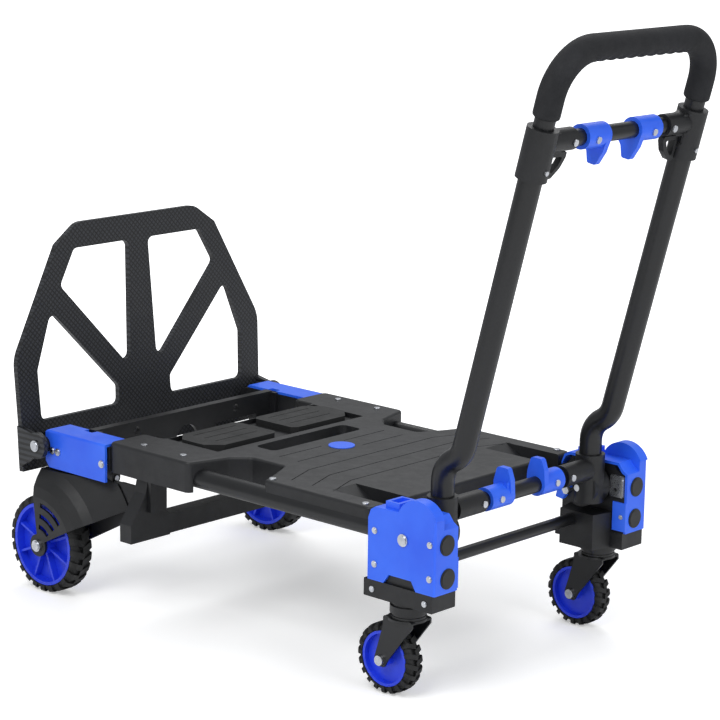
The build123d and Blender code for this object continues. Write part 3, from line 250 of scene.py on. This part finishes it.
def resample(points, spacing):
    """Even points along a path, with the distance of each from its start."""
    lengths = [0.0]
    for a, b in zip(points, points[1:]):
        lengths.append(lengths[-1] + (b - a).length)
    count = max(2, round(lengths[-1] / spacing))
    result, index = [], 0
    for step in range(count + 1):
        wanted = lengths[-1] * step / count
        while index < len(lengths) - 2 and lengths[index + 1] < wanted:
            index += 1
        span = max(lengths[index + 1] - lengths[index], 1e-9)
        result.append((points[index].lerp(points[index + 1], (wanted - lengths[index]) / span), wanted))
    return result, lengths[-1]


def sleeve(work, path, normal, radius_at, bore, ring):
    """A hollow sleeve along a flat path; radius_at(distance, angle) gives its outside."""
    outside, inside = [], []
    for index, (point, distance) in enumerate(path):
        before = path[max(index - 1, 0)][0]
        after = path[min(index + 1, len(path) - 1)][0]
        side = (after - before).normalized().cross(normal).normalized()
        outer_row, inner_row = [], []
        for turn in range(ring):
            angle = 2 * math.pi * turn / ring
            direction = side * math.cos(angle) + normal * math.sin(angle)
            outer_row.append(work.verts.new(point + direction * radius_at(distance, angle)))
            inner_row.append(work.verts.new(point + direction * bore))
        outside.append(outer_row)
        inside.append(inner_row)
    walls = list(zip(outside, outside[1:])) + list(zip(inside, inside[1:]))
    walls += [(outside[0], inside[0]), (outside[-1], inside[-1])]
    for first, second in walls:
        for turn in range(ring):
            nxt = (turn + 1) % ring
            work.faces.new((first[turn], first[nxt], second[nxt], second[turn]))


def lathe(work, profile, centre, steps):
    """Turn a closed profile of (across, radius) points round the wheel axis."""
    rows = []
    for step in range(steps):
        angle = 2 * math.pi * step / steps
        rows.append([work.verts.new(centre + Vector((radius * math.cos(angle), across,
                                                     radius * math.sin(angle))))
                     for across, radius in profile])
    for step in range(steps):
        here, ahead = rows[step], rows[(step + 1) % steps]
        for index in range(len(profile)):
            nxt = (index + 1) % len(profile)
            work.faces.new((here[index], here[nxt], ahead[nxt], ahead[index]))


def repeat_tree():
    """Geometry Nodes: a copy of an object on each point, each turned a step further about Y."""
    tree = bpy.data.node_groups.new("repeat_on_points", "GeometryNodeTree")
    sockets = {}
    for label, kind in (("Points", "NodeSocketGeometry"), ("Copied Piece", "NodeSocketObject"),
                        ("First Turn", "NodeSocketFloat"), ("Turn Per Copy", "NodeSocketFloat"),
                        ("Finish", "NodeSocketMaterial")):
        sockets[label] = tree.interface.new_socket(label, in_out="INPUT", socket_type=kind).identifier
    tree.interface.new_socket("Geometry", in_out="OUTPUT", socket_type="NodeSocketGeometry")
    given = add(tree, "NodeGroupInput")
    index = add(tree, "GeometryNodeInputIndex").outputs["Index"]
    turned = add(tree, "ShaderNodeMath", {0: index, 1: given.outputs["Turn Per Copy"]},
                 operation="MULTIPLY").outputs[0]
    angle = add(tree, "ShaderNodeMath", {0: turned, 1: given.outputs["First Turn"]},
                operation="ADD").outputs[0]
    euler = add(tree, "ShaderNodeCombineXYZ", {"Y": angle}).outputs["Vector"]
    rotation = add(tree, "FunctionNodeEulerToRotation", {"Euler": euler}).outputs["Rotation"]
    copied = add(tree, "GeometryNodeObjectInfo",
                 {"Object": given.outputs["Copied Piece"]}).outputs["Geometry"]
    placed = add(tree, "GeometryNodeInstanceOnPoints",
                 {"Points": given.outputs["Points"], "Instance": copied,
                                                        "Rotation": rotation}).outputs["Instances"]
    real = add(tree, "GeometryNodeRealizeInstances", {"Geometry": placed}).outputs["Geometry"]
    finished = add(tree, "GeometryNodeSetMaterial", {"Geometry": real, "Material": given.outputs["Finish"]})
    add(tree, "NodeGroupOutput", {"Geometry": finished.outputs["Geometry"]})
    return tree, sockets


REPEAT, REPEAT_SOCKETS = repeat_tree()


def repeated(name, points, copied, slot, first_turn=0.0, turn_per_copy=0.0):
    """A plain mesh with one copy of a small piece on each point."""
    carrier = bpy.data.meshes.new(name)
    carrier.from_pydata([tuple(point) for point in points], [], [])
    thing = bpy.data.objects.new(name, carrier)
    bpy.context.collection.objects.link(thing)
    modifier = thing.modifiers.new("repeat", "NODES")
    modifier.node_group = REPEAT
    modifier[REPEAT_SOCKETS["Copied Piece"]] = copied
    modifier[REPEAT_SOCKETS["First Turn"]] = first_turn
    modifier[REPEAT_SOCKETS["Turn Per Copy"]] = turn_per_copy
    modifier[REPEAT_SOCKETS["Finish"]] = FINISH[slot]
    graph = bpy.context.evaluated_depsgraph_get()
    mesh = bpy.data.meshes.new_from_object(thing.evaluated_get(graph))
    thing.modifiers.remove(modifier)
    thing.data = mesh
    if not mesh.materials:
        mesh.materials.append(FINISH[slot])
    bpy.data.objects.remove(copied)
    return thing


# ---------------------------------------------------------------- soft grip
LEAN = math.radians(15)
ALONG = Vector((math.sin(LEAN), 0, math.cos(LEAN)))
ACROSS = Vector((0, 1, 0))
OUT = Vector((math.cos(LEAN), 0, -math.sin(LEAN)))
GRIP_R = 18 * MM
GRIP_BORE = 13.8 * MM
BEND_R = 62 * MM
LEG_Y = 160 * MM
grip_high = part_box("handle_grip")[1]
top_middle = Vector((grip_high[0] - GRIP_R, 0, grip_high[2] - GRIP_R))
GRIP_LEG = 88 * MM
NUB_PITCH = 21 * MM
NUB_DEPTH = 3.4 * MM
END_ROUND = 5 * MM
END_SOFTNESS = 0.6              # how much of the end rounding the foam shows
NUB_FADE = 12 * MM              # length over which the finger hollows die out
NUB_FOCUS = 1.5                 # keeps the hollows to the underside
RING = 48
PATH_STEP = 2.0 * MM
BEND_STEPS = 24

corners = [top_middle - ALONG * GRIP_LEG - ACROSS * LEG_Y, top_middle - ACROSS * LEG_Y,
           top_middle + ACROSS * LEG_Y, top_middle - ALONG * GRIP_LEG + ACROSS * LEG_Y]
grip_path, grip_length = resample(rounded_path(corners, BEND_R, BEND_STEPS), PATH_STEP)
straight_half = LEG_Y - BEND_R


def grip_radius(distance, angle):
    """Foam outside: rounded ends, and finger hollows under the cross piece."""
    edge = min(distance, grip_length - distance)
    radius = GRIP_R
    if edge < END_ROUND:
        radius -= END_ROUND * (1 - math.sqrt(max(0.0, 1 - (1 - edge / END_ROUND) ** 2))) * END_SOFTNESS
    from_middle = abs(distance - grip_length / 2)
    if from_middle < straight_half:
        fade = min(1.0, (straight_half - from_middle) / NUB_FADE)
        under = max(0.0, math.cos(angle)) ** NUB_FOCUS
        wave = 0.5 - 0.5 * math.cos(2 * math.pi * (distance - grip_length / 2) / NUB_PITCH)
        radius -= NUB_DEPTH * wave * under * fade
    return radius


def fill_grip(work):
    """The foam sleeve on the U tube."""
    sleeve(work, grip_path, OUT, grip_radius, GRIP_BORE, RING)


grip = mesh_object("foam_grip", fill_grip, "foam_grip")
attach(grip, "grip", "foam_grip", "handle_grip")

# ---------------------------------------------------------------- tyres
SIDES = ("left", "right")
BLOCK_SLANT = 0.42              # sideways lean of a tread block along its width
BLOCK_HALF = 5.2 * MM           # half a block's length, on a tyre of REAR_REFERENCE radius
REAR_REFERENCE = 75 * MM
GROOVE_DEPTH = 3.2 * MM
BEAD_R = {"rear": 63 * MM, "caster": 38.5 * MM}
BLOCKS = {"rear": 24, "caster": 20}
LATHE_STEPS = 96


def tread_block(work, width, radius, sign, turn):
    """One slanted tread block that wraps over the shoulder of a tyre."""
    edge = width / 2
    outer = [(-edge, radius - 11 * MM), (-edge, radius - 5 * MM), (-edge + 2.5 * MM, radius - 1.6 * MM),
             (-edge + 6 * MM, radius - 0.5 * MM), (1.5 * MM, radius - 0.3 * MM)]
    inner = [(1.5 * MM, radius - 5 * MM), (-edge + 7 * MM, radius - 6 * MM),
             (-edge + 3 * MM, radius - 11 * MM)]
    ends = []
    for half in (-1, 1):
        row = []
        for across, height in outer + inner:
            slant = (across + edge) * BLOCK_SLANT
            along = half * BLOCK_HALF * (radius / REAR_REFERENCE) + slant
            angle = turn + along / radius
            row.append(work.verts.new((height * math.sin(angle), sign * across, height * math.cos(angle))))
        ends.append(row)
    count = len(outer + inner)
    for index in range(count):
        nxt = (index + 1) % count
        work.faces.new((ends[0][index], ends[0][nxt], ends[1][nxt], ends[1][index]))
    work.faces.new(ends[0])
    work.faces.new(ends[1][::-1])


def tyre(kind, side):
    """A solid tyre: a grooved carcass with slanted blocks along both shoulders."""
    node = f"{kind}_tyre_{side}"
    low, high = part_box(node)
    centre = (Vector(low) + Vector(high)) / 2
    radius, width = (high[2] - low[2]) / 2, high[1] - low[1]
    edge, base = width / 2, radius - GROOVE_DEPTH
    half = [(edge - 2.2 * MM, BEAD_R[kind]), (edge - 1.2 * MM, BEAD_R[kind] + 1.5 * MM),
            (edge - 1.0 * MM, base - 7 * MM),
            (edge - 3.0 * MM, base - 2.5 * MM), (edge - 7.0 * MM, base - 0.4 * MM), (2.2 * MM, base)]
    middle = [(2.2 * MM, base - 1.2 * MM), (-2.2 * MM, base - 1.2 * MM)]
    profile = half + middle + [(-across, height) for across, height in half[::-1]]
    carcass = mesh_object(f"{kind}_tyre_carcass_{side}",
                          lambda work: lathe(work, profile, centre, LATHE_STEPS), "tyre_rubber")
    step = 2 * math.pi / BLOCKS[kind]

    def block_pair(work):
        tread_block(work, width, radius, 1, 0.0)
        tread_block(work, width, radius, -1, step / 2)

    pair = mesh_object(f"{kind}_tread_pair", block_pair, "tyre_rubber", smooth=False)
    blocks = repeated(f"{kind}_tread_blocks_{side}", [centre] * BLOCKS[kind], pair, "tyre_rubber",
                      turn_per_copy=step)
    body = f"{kind}_wheel_{side}"
    attach(carcass, body, "tyre_rubber", node)
    attach(blocks, body, "tyre_rubber")


for side_name in SIDES:
    tyre("rear", side_name)
    tyre("caster", side_name)

# ---------------------------------------------------------------- floor, light and camera
floor_mesh = bpy.data.meshes.new("studio_floor")
FLOOR = 12.0
floor_mesh.from_pydata([(-FLOOR, -FLOOR, 0), (FLOOR, -FLOOR, 0), (FLOOR, FLOOR, 0), (-FLOOR, FLOOR, 0)],
                       [], [(0, 1, 2, 3)])
floor = bpy.data.objects.new("studio_floor", floor_mesh)
bpy.context.collection.objects.link(floor)
floor_material, floor_tree, floor_place = new_material("studio_paper")
# the paper glows a little near the object and fully far away, for the camera only
NEAR_LIFT, FAR_LIFT = 0.34, 1.0
NEAR, FAR = 0.9, 2.2
seen = add(floor_tree, "ShaderNodeLightPath").outputs["Is Camera Ray"]
reach = add(floor_tree, "ShaderNodeVectorMath", {0: floor_place}, operation="LENGTH").outputs["Value"]
faded = add(floor_tree, "ShaderNodeMapRange", {"Value": reach, "From Min": NEAR, "From Max": FAR,
                                               "To Min": NEAR_LIFT, "To Max": FAR_LIFT}).outputs["Result"]
lift = add(floor_tree, "ShaderNodeMath", {0: seen, 1: faded}, operation="MULTIPLY").outputs[0]
paper = add(floor_tree, "ShaderNodeBsdfDiffuse", {"Color": linear("#F6F6F6")}).outputs["BSDF"]
glow = add(floor_tree, "ShaderNodeEmission", {"Color": linear("#FFFFFF"),
                                              "Strength": lift}).outputs["Emission"]
both = add(floor_tree, "ShaderNodeAddShader", {0: paper, 1: glow}).outputs[0]
add(floor_tree, "ShaderNodeOutputMaterial", {"Surface": both})
floor_mesh.materials.append(floor_material)

world = bpy.data.worlds.new("studio_world")
bpy.context.scene.world = world
world.use_nodes = True
world.node_tree.nodes.clear()
ray = add(world.node_tree, "ShaderNodeLightPath").outputs["Is Camera Ray"]
soft = add(world.node_tree, "ShaderNodeBackground",
           {"Color": linear("#F2F4F7"), "Strength": 0.55}).outputs["Background"]
white = add(world.node_tree, "ShaderNodeBackground",
            {"Color": linear("#FFFFFF"), "Strength": 1.0}).outputs["Background"]
mixed = add(world.node_tree, "ShaderNodeMixShader", {0: ray, 1: soft, 2: white}).outputs[0]
add(world.node_tree, "ShaderNodeOutputWorld", {"Surface": mixed})


def softbox(name, place, aim, size, watts):
    """A square area light pointing at a place."""
    light = bpy.data.lights.new(name, "AREA")
    light.shape, light.size, light.energy = "SQUARE", size, watts
    holder = bpy.data.objects.new(name, light)
    holder.location = place
    holder.rotation_euler = (Vector(aim) - Vector(place)).to_track_quat("-Z", "Y").to_euler()
    bpy.context.collection.objects.link(holder)


softbox("key_softbox", (0.6, -2.6, 3.0), (0, 0, 0.3), 1.8, 62)
softbox("fill_softbox", (3.2, -0.2, 1.8), (0.1, 0, 0.3), 1.6, 30)
softbox("top_softbox", (-1.2, 1.6, 3.2), (0, 0, 0.3), 2.0, 40)

# the viewpoint: azimuth 42.6 degrees round from the side, 12.5 degrees up
AZIMUTH, ELEVATION, ROLL = math.radians(42.56), math.radians(12.51), math.radians(0.82)
LENS_MM = 126.089
CAMERA_AHEAD, CAMERA_SIDE, CAMERA_UP = 2.81171, -2.61343, 1.17364
axle_low, axle_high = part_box("rear_axle_left")
AXLE_X = (axle_low[0] + axle_high[0]) / 2
CAMERA_PLACE = Vector((AXLE_X + CAMERA_AHEAD, CAMERA_SIDE, CAMERA_UP))
SENSOR_MM = 36.0
CLIP_END = 40.0
back = Vector((math.sin(AZIMUTH) * math.cos(ELEVATION), -math.cos(AZIMUTH) * math.cos(ELEVATION),
               math.sin(ELEVATION)))
right = Vector((math.cos(AZIMUTH), math.sin(AZIMUTH), 0))
up = back.cross(right)
right, up = (right * math.cos(ROLL) + up * math.sin(ROLL), up * math.cos(ROLL) - right * math.sin(ROLL))
camera_data = bpy.data.cameras.new("studio_camera")
camera_data.sensor_width = SENSOR_MM
camera_data.lens = LENS_MM
camera_data.clip_end = CLIP_END
camera = bpy.data.objects.new("studio_camera", camera_data)
camera.matrix_world = Matrix((
    (right.x, up.x, back.x, CAMERA_PLACE.x), (right.y, up.y, back.y, CAMERA_PLACE.y),
    (right.z, up.z, back.z, CAMERA_PLACE.z), (0, 0, 0, 1)))
bpy.context.collection.objects.link(camera)
bpy.context.scene.camera = camera
bpy.context.scene.view_settings.view_transform = "Standard"
